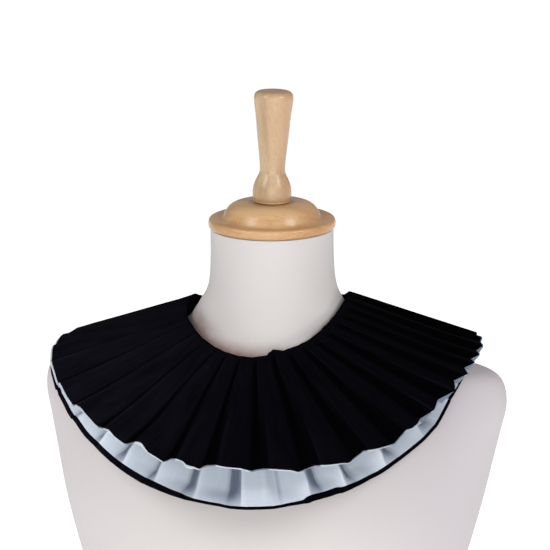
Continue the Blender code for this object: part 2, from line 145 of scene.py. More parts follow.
# Soft secondary creases that run along a pleat's broad face.
#   tier | azimuth at the hem deg | azimuth at the neck deg | from share | to
#   share | width at the hem mm | height mm (a ridge is positive)
CREASES = (
    ("upper", -97.5, -92.0, 0.20, 1.05, 3.2, -0.45),
    ("upper", -89.0, -83.0, 0.10, 1.05, 3.0, 0.40),
    ("upper", -80.5, -74.0, 0.25, 1.05, 3.5, -0.50),
    ("upper", -70.0, -63.0, 0.05, 0.80, 2.6, 0.45),
    ("upper", -67.0, -60.0, 0.30, 1.05, 2.4, -0.40),
    ("upper", -59.0, -53.0, 0.15, 1.05, 3.0, 0.55),
    ("upper", -55.5, -50.5, 0.45, 1.05, 2.6, -0.50),
    ("upper", -46.0, -43.0, 0.30, 1.05, 3.4, 0.55),
    ("upper", -42.0, -40.5, 0.05, 0.70, 2.2, -0.45),
    ("upper", -33.5, -32.5, 0.35, 1.05, 2.6, -0.60),
    ("upper", -22.0, -22.5, 0.10, 1.05, 2.8, 0.70),
    ("upper", -19.8, -21.0, 0.30, 1.05, 2.0, -0.70),
    ("upper", -11.5, -13.0, 0.20, 0.90, 2.6, -0.45),
    ("upper", -3.0, -4.0, 0.05, 1.05, 2.4, 0.60),
    ("upper", 0.5, -1.5, 0.25, 1.05, 2.2, -0.60),
    ("upper", 12.5, 7.5, 0.10, 0.95, 3.0, 0.50),
    ("upper", 26.0, 17.0, 0.25, 1.05, 3.2, -0.60),
    ("upper", 30.0, 20.0, 0.40, 1.05, 2.4, 0.50),
    ("upper", 39.5, 27.0, 0.10, 0.85, 2.6, 0.55),
    ("upper", 43.0, 29.5, 0.35, 1.05, 2.2, -0.55),
    ("upper", 51.5, 37.0, 0.15, 1.05, 2.4, 0.55),
    ("upper", 61.5, 46.5, 0.25, 1.05, 2.2, -0.50),
    ("upper", 69.0, 54.5, 0.10, 0.95, 1.8, 0.45),
    ("upper", 85.0, 76.0, 0.30, 1.05, 1.8, -0.45),
    ("upper", 92.5, 84.0, 0.10, 1.05, 2.2, 0.50),
    ("upper", 102.0, 94.5, 0.20, 0.90, 2.6, -0.50),
    ("upper", 121.5, 115.5, 0.15, 1.05, 3.0, 0.55),
    ("upper", 139.5, 135.0, 0.30, 1.05, 2.8, -0.55),
    ("upper", 158.0, 155.0, 0.10, 0.90, 2.6, 0.60),
    ("upper", 171.5, 170.0, 0.30, 1.05, 3.2, -0.50),
    ("upper", -174.5, -174.5, 0.25, 1.05, 3.0, 0.50),
    ("upper", -156.0, -155.0, 0.15, 1.05, 2.8, -0.60),
    ("upper", -137.0, -134.5, 0.35, 1.05, 3.0, 0.50),
    ("upper", -117.5, -113.5, 0.10, 0.85, 2.6, -0.50),
    ("lower", -66.0, -58.5, 0.30, 1.05, 2.4, 0.40),
    ("lower", -55.5, -50.0, 0.35, 1.05, 2.2, -0.45),
    ("lower", -39.5, -36.5, 0.40, 1.05, 2.2, 0.50),
    ("lower", -36.0, -34.5, 0.50, 1.05, 1.8, -0.55),
    ("lower", -26.5, -27.0, 0.35, 1.05, 2.6, -0.40),
    ("lower", -8.5, -12.0, 0.30, 1.05, 2.4, -0.45),
    ("lower", 3.0, -4.0, 0.40, 1.05, 2.0, -0.55),
    ("lower", 7.5, -0.5, 0.50, 1.05, 1.8, -0.45),
    ("lower", 17.5, 6.5, 0.40, 1.05, 2.4, 0.50),
    ("lower", 29.5, 16.0, 0.35, 1.05, 1.8, -0.60),
    ("lower", 32.0, 18.0, 0.45, 1.05, 2.0, 0.45),
    ("lower", 44.5, 29.0, 0.30, 1.05, 2.2, -0.50),
    ("lower", 57.0, 40.5, 0.40, 1.05, 2.0, 0.45),
    ("lower", 86.0, 75.0, 0.30, 1.05, 2.2, -0.40),
    ("lower", 114.5, 107.0, 0.35, 1.05, 2.6, 0.50),
    ("lower", 135.0, 128.5, 0.30, 1.05, 2.4, -0.50),
    ("lower", 154.5, 151.0, 0.40, 1.05, 2.6, 0.50),
    ("lower", 170.0, 168.0, 0.35, 1.05, 2.6, -0.45),
    ("lower", -165.0, -163.5, 0.35, 1.05, 2.6, 0.50),
    ("lower", -145.0, -142.0, 0.30, 1.05, 2.4, -0.55),
    ("lower", -125.0, -121.0, 0.40, 1.05, 2.4, 0.45),
    ("lower", -96.0, -90.0, 0.30, 1.05, 2.4, -0.35),
)

# The course of each hem where the pleats have relaxed.
#   azimuth deg | height above the tier's middle surface mm | shorter mm
UPPER_HEM = (
    (-59.0, 1.5, 0.0), (-54.2, -2.2, 0.0), (-50.5, 4.5, 0.5), (-47.6, 6.6, 1.2),
    (-43.6, 5.4, 0.0), (-41.6, 0.8, 0.0), (-40.4, 0.2, 0.0), (-37.5, 3.6, 0.0),
    (-34.8, 6.0, 0.6), (-33.4, 1.6, 0.0), (-30.3, -1.2, 0.0), (-28.8, 1.6, 0.6),
    (-26.2, 6.8, 2.2), (-24.4, 8.0, 3.0), (-22.6, 2.0, 0.4), (-19.9, -1.0, 0.0),
    (-18.2, -4.4, 0.0), (-15.6, 2.2, 0.3), (-14.2, 3.6, 0.4), (-12.2, 2.8, 0.2),
    (-11.3, -1.4, 0.0), (-9.3, -2.2, 0.0), (-7.8, -4.2, 0.0), (-6.6, -0.6, 1.0),
    (-5.6, 1.4, 0.6), (-4.6, 2.0, 0.6), (-3.4, 3.4, 0.2), (-1.2, 2.2, 0.0),
    (3.1, 1.6, 0.0), (6.0, -1.4, 0.0), (7.4, 0.6, 0.0), (9.5, 2.0, 0.0),
    (13.2, 0.3, 0.0), (16.6, -1.8, 0.0), (18.6, -5.4, 0.0), (20.2, -2.6, 0.0),
    (22.6, 0.9, 0.0), (26.4, -1.6, 0.0), (31.0, -3.6, 0.0), (33.0, -6.2, 0.0),
    (34.4, -0.4, 0.3), (36.2, 4.8, 0.4), (40.5, 0.6, 0.0), (44.6, -3.6, 0.0),
    (47.2, -6.2, 0.0), (48.3, -0.6, 0.3), (49.6, 4.2, 0.4), (52.0, 0.8, 0.0),
    (54.6, -0.8, 1.0), (57.3, -4.8, 4.5), (59.0, 5.5, -1.0),
    (65.1, -3.8, 6.5), (66.7, 6.5, -2.0), (72.1, -1.8, 6.5), (73.5, 5.5, -1.5), (77.5, -1.0, 5.5),
    (78.6, 4.6, -1.0), (82.0, -0.4, 5.0), (83.2, 4.2, -0.5), (88.0, -0.5, 4.0), (89.7, 3.6, 0.0),
    (97.0, 0.0, 2.5), (100.0, 2.0, 0.0),
)
LOWER_HEM = (
    (-56.0, 0.5, 0.0), (-51.8, -1.0, 0.0), (-49.0, 1.8, 0.0), (-44.6, 1.6, 0.0),
    (-43.6, 0.6, 0.0), (-40.0, 3.0, 0.0), (-36.0, 3.4, 0.0), (-31.6, 3.2, 0.0),
    (-30.6, 3.9, 0.0), (-27.0, 5.0, 0.0), (-22.0, 5.2, 0.0), (-18.2, 5.8, 0.0),
    (-16.4, 4.2, 0.0), (-13.4, 6.0, 0.0), (-10.2, 6.6, 0.0), (-5.0, 6.8, 0.0),
    (-1.6, 2.8, 0.0), (2.4, 1.8, 0.0), (6.8, 0.6, 0.0), (9.4, -0.2, 0.0),
    (12.4, -1.6, 0.0), (16.8, 0.8, 0.0), (21.4, -0.4, 0.0), (23.8, -2.6, 0.0),
    (25.2, 1.2, 0.0), (29.0, 3.2, 0.0), (33.0, 4.6, 0.0), (35.4, 0.8, 0.0),
    (39.2, 3.4, 0.0), (43.8, 6.2, 0.0), (47.6, -0.6, 0.0), (50.4, -1.4, 0.0),
    (55.0, 1.6, 0.0), (58.6, 1.8, 0.0), (62.6, -1.2, 0.0), (66.0, 0.4, 0.8),
    (70.0, 0.8, 4.0), (74.0, -1.0, 7.0), (80.0, 0.4, 8.5), (90.0, -0.8, 8.5), (99.0, 0.4, 5.5),
    (108.0, 0.0, 2.0), (116.0, 0.0, 0.0),
)

# How far each backing shows past its face cloth.  azimuth deg | mm
UPPER_RIM = (
    (-180.0, 1.0), (-120.0, 1.2), (-95.0, 1.9), (-62.0, 1.7), (-54.0, 1.0), (-44.0, 0.7),
    (-34.0, 0.9), (-29.0, 0.5), (-20.0, 0.8), (-14.0, 0.5), (-12.0, 0.6), (-11.2, 2.6), (-9.6, 2.3), (-8.9, 0.7), (-8.0, 0.9), (0.0, 0.6),
    (6.0, 1.1), (12.0, 0.8), (18.5, 0.5), (26.0, 0.9), (33.0, 0.4), (45.0, 0.8), (62.0, 0.6),
    (90.0, 0.9), (180.0, 1.0),
)
LOWER_RIM = (
    (-180.0, 3.0), (-70.0, 3.6), (-46.0, 5.2), (-30.0, 6.2), (-18.0, 4.8), (-13.5, 2.6),
    (0.0, 2.5), (15.0, 2.5), (22.0, 3.2), (23.6, 5.6), (34.0, 6.0), (36.0, 4.8), (44.0, 3.8),
    (62.0, 3.0), (90.0, 3.0), (180.0, 3.0),
)


# ------------------------------------------------------------ collar surface
def course(name, azimuth):
    """A column of COURSE at many azimuths, on a smooth closed curve."""
    column = np.array([row[COURSE_COLUMNS.index(name)] for row in COURSE], float)
    count = len(COURSE)
    place = ((np.asarray(azimuth, float) + 180.0) % 360.0) / (360.0 / count)
    row = np.floor(place).astype(int)
    t = place - row
    a, b, c, d = (column[(row + k) % count] for k in (-1, 0, 1, 2))
    return 0.5 * (
        2 * b + (c - a) * t + (2 * a - 5 * b + 4 * c - d) * t**2 + (3 * b - a - 3 * c + d) * t**3
    )


def outward(azimuth):
    angle = np.radians(azimuth)
    return np.stack([np.sin(angle), -np.cos(angle), np.zeros_like(angle)], -1)


def neckline(azimuth, tier="upper"):
    direction = outward(azimuth)
    drop = course("drop", azimuth) * MM if tier == "lower" else 0.0
    return np.stack([
        NECKLINE_CENTRE[0] + NECKLINE_RX * direction[..., 0],
        NECKLINE_CENTRE[1] + SHIFT_Y + NECKLINE_RY * direction[..., 1],
        course("rim", azimuth) * MM - drop,
    ], -1)


def tier_length(tier):
    return UPPER_LENGTH if tier == "upper" else LOWER_LENGTH


def tier_points(tier, at_neck, at_hem, share, lift):
    """Points of a tier.  share runs from 0 at the neck seam to 1 at the hem."""
    at_neck, at_hem, share, lift = np.broadcast_arrays(at_neck, at_hem, share, lift)
    up = np.array([0.0, 0.0, 1.0])
    slope = np.radians(course(tier, at_hem))[..., None]
    start = neckline(at_neck, tier)
    end = neckline(at_hem, tier) + tier_length(tier) * (
        outward(at_hem) * np.cos(slope) - up * np.sin(slope)
    )
    between = at_neck + (at_hem - at_neck) * share
    slope = np.radians(course(tier, between))[..., None]
    normal = outward(between) * np.sin(slope) + up * np.cos(slope)
    blend = np.clip(share / 0.3, 0, 1)[..., None]
    direction = up * (1 - blend) + normal * blend
    direction = direction / (direction * normal).sum(-1, keepdims=True)
    return start + (end - start) * share[..., None] + direction * lift[..., None]


def smooth_step(x):
    x = np.clip(x, 0, 1)
    return x * x * (3 - 2 * x)


def smooth_min(a, b, width):
    near = np.clip(width - np.abs(a - b), 0, None) / width
    return np.minimum(a, b) - near**2 * width / 4


# Places across one left fold: close together where the cloth turns.
ACROSS = np.array([
    0.0, 0.022, 0.045, 0.068, 0.09, 0.112, 0.134, 0.156, 0.178, 0.2, 0.222, 0.246,
    0.275, 0.315, 0.365, 0.425, 0.49, 0.56, 0.63, 0.70, 0.77, 0.84, 0.895, 0.945, 0.98,
])


def fold_height(across, steep, crisp, belly):
    """Height across a left fold, from -0.5 in the valleys to 0.5 on the ridge."""
    rise = -0.5 + 1.22 * smooth_step(across / (steep * 1.25))
    u = np.clip((across - steep) / (1 - steep), -1, 1)
    fall = 0.5 - u - belly * np.sin(np.pi * np.clip(u, 0, 1))
    return smooth_min(rise, fall, crisp)


def hem_course(tier, azimuth):
    """Height and shortening of the listed hem, and how far it counts at an azimuth."""
    table = np.array(UPPER_HEM if tier == "upper" else LOWER_HEM)
    height = np.interp(azimuth, table[:, 0], table[:, 1]) * MM
    shorter = np.interp(azimuth, table[:, 0], table[:, 2]) * MM
    counts = smooth_step((azimuth - table[0, 0]) / 5.0) * smooth_step((table[-1, 0] - azimuth) / 5.0)
    return height, shorter, counts


def riser(across, steep):
    """Where the painted shade goes: 1 on the steep side of a left fold and in the valley before it, 0 on its broad
    face.
    """
    side = smooth_step((steep + 0.03 - across) / 0.03)
    # Painted shade in the valley before the steep side, darker where that side is narrow.
    valley = 0.85 if steep < 0.19 else 0.5
    return np.maximum(side, valley * smooth_step((across - 0.88) / 0.12))


def wear_and_edge_highlight(across, steep):
    """Where the painted highlight goes: 1 along the pressed edge of a fold, on its broad face."""
    past = across - steep
    return smooth_step((past + 0.01) / 0.03) * (1 - smooth_step((past - 0.03) / 0.09))


def fold(kind, across, steep, crisp, belly):
    """(height, painted-shade mask, painted-highlight mask) across a fold."""
    if kind == "left":
        return fold_height(across, steep, crisp, belly), riser(across, steep), wear_and_edge_highlight(across, steep)
    if kind == "right":
        return fold_height(1 - across, steep, crisp, belly), riser(1 - across, steep), wear_and_edge_highlight(1 - across, steep)
    sides = np.minimum(across, 1 - across)
    top = 0.5 - 0.08 * np.sin(np.pi * across)
    rise = -0.5 + 1.22 * smooth_step(sides / (steep * 1.25))
    # Only its left side is pressed sharp.
    sharp = np.where(across < 0.5, 1.0, 0.1)
    return smooth_min(rise, top, crisp), riser(sides, steep) * sharp, wear_and_edge_highlight(sides, steep) * sharp


def pleat_columns(tier):
    """One row a column: azimuths at neck and hem, depth, place across, pleat number, how far
    from the ridge, then height, painted-shade mask and painted-highlight mask near the neck
    and near the hem, then the pleat's own small differences."""
    pleats = UPPER_PLEATS if tier == "upper" else LOWER_PLEATS
    half_neck = math.degrees(0.5 * BACK_OPENING / NECKLINE_RY)
    half_hem = math.degrees(0.5 * BACK_OPENING / (NECKLINE_RY + UPPER_LENGTH * 0.8))
    rows = [(-180 + half_neck, -180 + half_hem, pleats[0][2])]
    rows += list(pleats)
    rows.append((180 - half_neck, 180 - half_hem, pleats[-1][2]))
    random = np.random.default_rng(5 if tier == "upper" else 8)
    parts = []
    for number, (here, after) in enumerate(zip(rows[:-1], rows[1:])):
        middle = 0.5 * (here[1] + after[1])
        if tier == "upper":
            # Pressed sharp at the left, looser from the centre front on.
            loose = float(smooth_step((middle + 48) / 40.0))
            narrow, wide = 0.10 + 0.08 * loose, 0.165 + 0.145 * loose
            wide -= 0.10 * float(smooth_step((middle - 48) / 16.0))
        else:
            narrow, wide = 0.21, 0.25
        change = random.uniform(-1, 1, 3)
        narrow *= 1 + 0.14 * change[0]
        wide *= 1 + 0.14 * change[0]
        crisp = 0.07 + 0.03 * change[1]
        belly = 0.03 + 0.06 * change[2]
        if tier == "upper" or here[1] < LOWER_BOX_PLEAT:
            kind, across = "left", ACROSS
            away = smooth_step((across - 0.1) / 0.9)
        elif here[1] == LOWER_BOX_PLEAT:
            kind = "box"
            across = np.unique(np.round(np.concatenate([ACROSS[:15], 1 - ACROSS[14:0:-1]]), 4))
            away = np.full_like(across, 0.5)
        else:
            kind, across = "right", np.sort(np.concatenate([[0.0], 1 - ACROSS[1:]]))
            away = 1 - smooth_step(across / 0.9)
        blend = lambda k: here[k] + (after[k] - here[k]) * across  # noqa: E731
        count = len(across)
        jitter = random.uniform(-1, 1, 6)
        parts.append(np.stack([
            blend(0), blend(1), blend(2) * MM, across, np.full(count, float(number)), away,
            *fold(kind, across, narrow, crisp, belly),
            *fold(kind, across, wide, crisp + 0.03, belly),
            *(np.full(count, value) for value in jitter),
        ], -1))
    last = parts[-1][-1:].copy()
    last[0, :4] = (rows[-1][0], rows[-1][1], rows[-1][2] * MM, 0.0)
    last[0, 4:12] = (len(rows) - 1.0, 0.0, -0.5, 0.0, 0.0, -0.5, 0.0, 0.0)
    table = np.concatenate([*parts, last])
    # The odd shape of each pleat fades into that of its neighbours.
    for column in range(12, table.shape[1]):
        values = table[:, column]
        for _ in range(10):
            values = np.concatenate([values[:1], (values[:-2] + 2 * values[1:-1] + values[2:]) / 4, values[-1:]])
        table[:, column] = values
    return table


def row_shares():
    """0 to 1, closer together at the neck seam and at the hem."""
    t = np.linspace(0, 1, ROWS + 1)
    return t + 0.06 * np.sin(2 * math.pi * t) * -1


def cloth_layer(tier, below, reach):
    """Two grids of points, upper and lower side, and the flat coordinates of the cloth."""
    table = pleat_columns(tier)
    at_neck, at_hem, depth, across, number, away = (table[:, k][None, :] for k in range(6))
    narrow_height, narrow_riser, narrow_highlight, wide_height, wide_riser, wide_highlight = (
        table[:, k][None, :] for k in range(6, 12)
    )
    wobble = table[:, 12:]
    placed, shorter, counts = hem_course(tier, at_hem)

    # A straight cut edge stands out where its face is far from the ridge.
    longer = (0.9 * away - 0.4 + 0.4 * wobble[:, 3] + 0.2 * np.sin(across * 9 + number * 1.7)) * MM
    rim = np.array(UPPER_RIM if tier == "upper" else LOWER_RIM)
    rim = np.interp(at_hem, rim[:, 0], rim[:, 1]) * MM
    longer = longer * (1 - 0.8 * counts) - shorter * counts * (0.35 if below and tier == "upper" else 1.0)
    if tier == "upper" and below:
        longer = longer + rim
    if tier == "lower" and not below:
        longer = longer - rim
    # Every cloth of a tier has the same shape at the same distance from the neck seam.
    far = row_shares()[:, None] * (reach + longer) / tier_length(tier)
    near = np.clip(far, 0, 1)

    # A pleat line bends a little on its way out.
    wander = 0.22 * wobble[:, 0] * np.sin(math.pi * (far * 1.3 + wobble[:, 1]))
    wander = wander + 0.10 * wobble[:, 2] * np.sin(2 * math.pi * (far * 1.7 + wobble[:, 3]))
    ends = np.minimum(1.0, (180.0 - np.abs(at_hem)) / 3.0)
    azimuth_shift = wander * far * ends

    # The folds open out from the seam, some sooner than others.
    opening = near ** (0.92 + 0.16 * wobble[:, 4])
    deep = NECK_PLEAT_DEPTH * 0.8 + (depth - NECK_PLEAT_DEPTH * 0.8) * opening
    if tier == "lower":
        # The lower folds are deepest under the upper hem and open flat at their own hem.
        deep = deep * (1.35 - 0.75 * smooth_step((far - 0.84) / 0.15))
    rounder = smooth_step((far - 0.05) / 0.95)
    height = narrow_height * (1 - rounder) + wide_height * rounder
    # Where painted shade and painted highlight go, from the neck to the hem.
    on_riser = narrow_riser * (1 - rounder) + wide_riser * rounder
    on_edge_highlight = narrow_highlight * (1 - rounder) + wide_highlight * rounder
    lift = height * deep
    lift = lift + 0.35 * MM * wobble[:, 5] * np.sin(2 * math.pi * (far * 1.1 + wobble[:, 0]))

    # Secondary creases.
    for name, hem_at, neck_at, low, high, width, tall in CREASES:
        if name != tier:
            continue
        centre = neck_at + (hem_at - neck_at) * far
        radius = 76 + 110 * far
        spread = width * (0.45 + 0.55 * far) / radius * 57.3
        offset = (at_neck + (at_hem - at_neck) * far - centre + 180) % 360 - 180
        along = smooth_step((far - low) / 0.25) * smooth_step((high - far) / 0.25)
        lift = lift + tall * MM * along * np.exp(-((offset / spread) ** 2))

    # The hem lifts and dips.
    start, span = (0.70, 0.30) if tier == "upper" else (0.86, 0.14)
    near_hem = smooth_step((far - 0.82) / 0.18)
    lift = lift + near_hem * 0.45 * MM * np.sin(number * 2.4 + across * 3.0 + wobble[:, 1] * 4)
    relaxed = smooth_step((far - start) / span) * counts
    lift = lift * (1 - relaxed) + placed * relaxed
    # The head of one pleat stands up at the neck seam, right of the centre front.
    if tier == "upper":
        head = smooth_step((at_neck - 8.6) / 3.2) * (1 - smooth_step((at_neck - 12.5) / 15.0))
        lift = lift + 3.4 * MM * head * (1 - smooth_step(far / 0.16))

    # The lower backing hangs a little free of its face towards the hem.
    if tier == "lower" and below:
        lift = lift - 0.3 * MM * smooth_step((far - 0.55) / 0.25)

    args = (tier, at_neck + azimuth_shift * 0.3, at_hem + azimuth_shift, far)
    top = tier_points(*args, lift - below)
    bottom = tier_points(*args, lift - below - CLOTH)

    step = np.linalg.norm(np.diff(top[-1], axis=0), axis=-1)
    around = np.concatenate([[0], np.cumsum(step)])
    # 0 on a riser, which lies deep in the pleat, and in the valley before it: painted shade goes
    # there; 1 on the faces that show; up to 2 along a pressed edge, which gets a painted highlight.
    # The painted shade starts just past the neck seam; on the lower tier it fades towards the hem.
    fades = smooth_step(far / 0.08)
    if tier == "lower":
        fades = fades * (1 - 0.75 * smooth_step((far - 0.87) / 0.13))
    out = 1 - np.clip(on_riser * fades, 0, 1)
    # Painted highlight along the pressed edges, stronger on some pleats than on others.
    out = out + on_edge_highlight * out * smooth_step(far / 0.1) * (0.55 + 0.45 * np.sin(number * 2.1 + far * 5.0))
    flat = np.stack(np.broadcast_arrays(around[None, :], far * tier_length(tier), out), -1)
    return top, bottom, flat


# ----------------------------------------------------------- mesh from grids
def set_flat(mesh, flat):
    """Stores a point's flat coordinates, in metres, and the mask for painted shade and painted highlight, for the
    textures to read.
    """
    layer = mesh.attributes.new("cloth_at", "FLOAT_VECTOR", "POINT")
    layer.data.foreach_set("vector", flat.astype(np.float32).ravel())


def grid_faces(rows, columns, start, closed, flip):
    r, c = np.meshgrid(np.arange(rows - 1), np.arange(columns if closed else columns - 1), indexing="ij")
    after = (c + 1) % columns
    quads = np.stack([
        start + r * columns + c, start + r * columns + after,
        start + (r + 1) * columns + after, start + (r + 1) * columns + c,
    ], -1).reshape(-1, 4)
    return quads[:, ::-1] if flip else quads


def new_object(name, points, faces, flat, material, smooth=True):
    mesh = bpy.data.meshes.new(name)
    mesh.from_pydata(points.tolist(), [], [list(face) for face in faces])
    mesh.update()
    if flat is not None:
        set_flat(mesh, flat)
    if smooth:
        mesh.shade_smooth()
    mesh.materials.append(material)
    obj = bpy.data.objects.new(name, mesh)
    bpy.context.scene.collection.objects.link(obj)
    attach(obj, "root")
    return obj


def sheet_object(name, top, bottom, flat, material):
    """A closed thin wall between two grids of points."""
    rows, columns = top.shape[:2]
    half = rows * columns
    points = np.concatenate([top.reshape(-1, 3), bottom.reshape(-1, 3)])
    faces = [
        grid_faces(rows, columns, 0, False, True),
        grid_faces(rows, columns, half, False, False),
    ]
    c = np.arange(columns - 1)
    r = np.arange(rows - 1)
    last = (rows - 1) * columns
    end = columns - 1
    faces.append(np.stack([c, c + 1, half + c + 1, half + c], -1))
    faces.append(np.stack([last + c + 1, last + c, half + last + c, half + last + c + 1], -1))
    faces.append(np.stack([(r + 1) * columns, r * columns, half + r * columns, half + (r + 1) * columns], -1))
    faces.append(np.stack([
        r * columns + end, (r + 1) * columns + end,
        half + (r + 1) * columns + end, half + r * columns + end,
    ], -1))
    faces = np.concatenate(faces)
    flat = np.concatenate([flat.reshape(-1, 3)] * 2)
    # Faces point out: the signed volume is positive.
    tri = points[faces]
    volume = np.einsum(
        "ij,ij->i", tri[:, 0], np.cross(tri[:, 1] - tri[:, 0], tri[:, 2] - tri[:, 0])
    ).sum() + np.einsum(
        "ij,ij->i", tri[:, 0], np.cross(tri[:, 2] - tri[:, 0], tri[:, 3] - tri[:, 0])
    ).sum()
    if volume < 0:
        faces = faces[:, ::-1]
    obj = new_object(name, points, faces, flat, material)
    obj.data.set_sharp_from_angle(angle=math.radians(50))
    return obj


# ----------------------------------------------------------------- materials
class Shade:
    """A few lines of help for writing node trees."""

    def __init__(self, name, rough, specular, **fixed):
        self.material = bpy.data.materials.new(name)
        self.material.use_nodes = True
        self.tree = self.material.node_tree
        self.shader = self.tree.nodes["Principled BSDF"]
        self.shader.inputs["Roughness"].default_value = rough
        self.shader.inputs["Specular IOR Level"].default_value = specular
        for key, value in fixed.items():
            self.shader.inputs[key.replace("_", " ")].default_value = value

    def node(self, kind, inputs=(), **settings):
        node = self.tree.nodes.new(kind)
        for key, value in settings.items():
            setattr(node, key, value)
        for key, value in dict(inputs).items():
            self.put(node.inputs[key], value)
        return node

    def put(self, socket, value):
        if isinstance(value, bpy.types.NodeSocket):
            self.tree.links.new(value, socket)
        else:
            socket.default_value = value

    def math(self, operation, a, b=0.0, c=None):
        node = self.node("ShaderNodeMath", operation=operation)
        self.put(node.inputs[0], a)
        self.put(node.inputs[1], b)
        if c is not None:
            self.put(node.inputs[2], c)
        return node.outputs[0]

    def weave_coordinates(self):
        """The cloth's flat coordinates in metres, as a vector."""
        return self.node("ShaderNodeAttribute", attribute_name="cloth_at").outputs["Vector"]

    def here(self):
        return self.node("ShaderNodeTexCoord").outputs["Object"]

    def stretch(self, vector, scale, rotation=(0, 0, 0), location=(0, 0, 0)):
        node = self.node("ShaderNodeMapping", {
            "Vector": vector, "Scale": scale, "Rotation": rotation, "Location": location,
        })
        return node.outputs["Vector"]

    def noise(self, vector, scale, detail=3.0, roughness=0.5, distortion=0.0):
        node = self.node("ShaderNodeTexNoise", {
            "Vector": vector, "Scale": scale, "Detail": detail,
            "Roughness": roughness, "Distortion": distortion,
        })
        return node.outputs["Fac"]

    def ramp(self, value, stops):
        """Colours at places from 0 to 1."""
        node = self.node("ShaderNodeValToRGB", {"Fac": value})
        ramp = node.color_ramp
        while len(ramp.elements) < len(stops):
            ramp.elements.new(0.5)
        for element, (place, colour) in zip(ramp.elements, stops):
            element.position = place
            element.color = (*colour, 1.0)
        return node.outputs["Color"]

    def span(self, value, low, high, to_low=0.0, to_high=1.0):
        node = self.node("ShaderNodeMapRange", {
            "Value": value, "From Min": low, "From Max": high, "To Min": to_low, "To Max": to_high,
        })
        return node.outputs["Result"]

    def mix(self, factor, a, b, kind="MIX"):
        node = self.node("ShaderNodeMix", data_type="RGBA", blend_type=kind)
        self.put(node.inputs[0], factor)
        self.put(node.inputs[6], a)
        self.put(node.inputs[7], b)
        return node.outputs[2]

    def split(self, vector):
        node = self.node("ShaderNodeSeparateXYZ", {"Vector": vector})
        return node.outputs

    def bump(self, height, distance, strength=1.0, normal=None):
        node = self.node("ShaderNodeBump", {
            "Height": height, "Distance": distance, "Strength": strength,
        })
        if normal is not None:
            self.put(node.inputs["Normal"], normal)
        return node.outputs["Normal"]


def cotton(name, dark, light, specular, slub, streaks, folds, deep, edge_highlight, right_shade=0.0, right_grey_shade=0.0):
    """Crepe-like pleated cotton: a plain weave, slubs along the pleats, soft patches.

    folds is how much painted shade darkens the risers and valleys of the pleats, towards deep,
    and rubbed is how much painted highlight lightens their pressed edges.  faded and greyed
    paint shade over the right side, towards near black and towards deep.
    """
    s = Shade(name, 0.9, specular)
    flat = s.weave_coordinates()
    u, v, shade_and_highlight_mask = s.split(flat)
    flat = s.node("ShaderNodeCombineXYZ", {"X": u, "Y": v}).outputs["Vector"]
    # Slubs and creping run from neck to hem.
    slubs = s.noise(s.stretch(flat, (620, 26, 1)), 1.0, 4.0, 0.62, 0.3)
    crepe = s.noise(s.stretch(flat, (1250, 160, 1)), 1.0, 3.0, 0.6)
    across = s.noise(s.stretch(flat, (70, 900, 1)), 1.0, 2.0, 0.5)
    patches = s.noise(s.stretch(flat, (55, 22, 1)), 1.0, 3.0, 0.55)
    tone = s.math("MULTIPLY_ADD", slubs, streaks, 0.5 - 0.5 * streaks)
    tone = s.math("MULTIPLY_ADD", s.math("SUBTRACT", patches, 0.5), 0.9, tone)
    tone = s.math("MULTIPLY_ADD", s.math("SUBTRACT", across, 0.5), 0.18, tone)
    colour = s.ramp(tone, ((0.22, dark), (0.80, light)))
    # Painted shade on the risers and in the valleys of the pleats.
    fold_shade = s.span(shade_and_highlight_mask, 0.0, 1.0, folds, 0.0)
    colour = s.mix(fold_shade, colour, (*deep, 1.0))
    # Painted highlight along the pressed edges of the pleats.
    on_edge_highlight = s.math("MULTIPLY", s.span(shade_and_highlight_mask, 1.0, 2.0, 0.0, edge_highlight), s.span(patches, 0.3, 0.7, 0.5, 1.0))
    colour = s.mix(on_edge_highlight, colour, tuple(min(1.0, k * 1.7) for k in light) + (1.0,))
    # Painted shade: darker and bluer towards the right.
    if right_grey_shade:
        x, y, z = s.split(s.here())
        colour = s.mix(s.span(x, 0.06, 0.15, 0.0, right_grey_shade), colour, (*deep, 1.0))
    # Painted shade: darker from the left side towards the centre and the right.
    if right_shade:
        x, y, z = s.split(s.here())
        colour = s.mix(s.span(x, -0.13, 0.0, 0.0, right_shade), colour, (0.0006, 0.0004, 0.0008, 1.0))
    s.put(s.shader.inputs["Base Color"], colour)
    s.put(s.shader.inputs["Roughness"], s.span(crepe, 0.3, 0.7, 0.80, 0.95))
    # Warp and weft, 22 threads to the centimetre.
    warp = s.math("SINE", s.math("MULTIPLY", u, 2 * math.pi * 2200))
    weft = s.math("SINE", s.math("MULTIPLY", v, 2 * math.pi * 2200))
    weave = s.math("MULTIPLY", warp, weft)
    normal = s.bump(weave, 0.00003, 0.35)
    normal = s.bump(crepe, 0.00022, 0.55, normal)
    normal = s.bump(slubs, slub, 0.8, normal)
    s.put(s.shader.inputs["Normal"], normal)
    return s.material


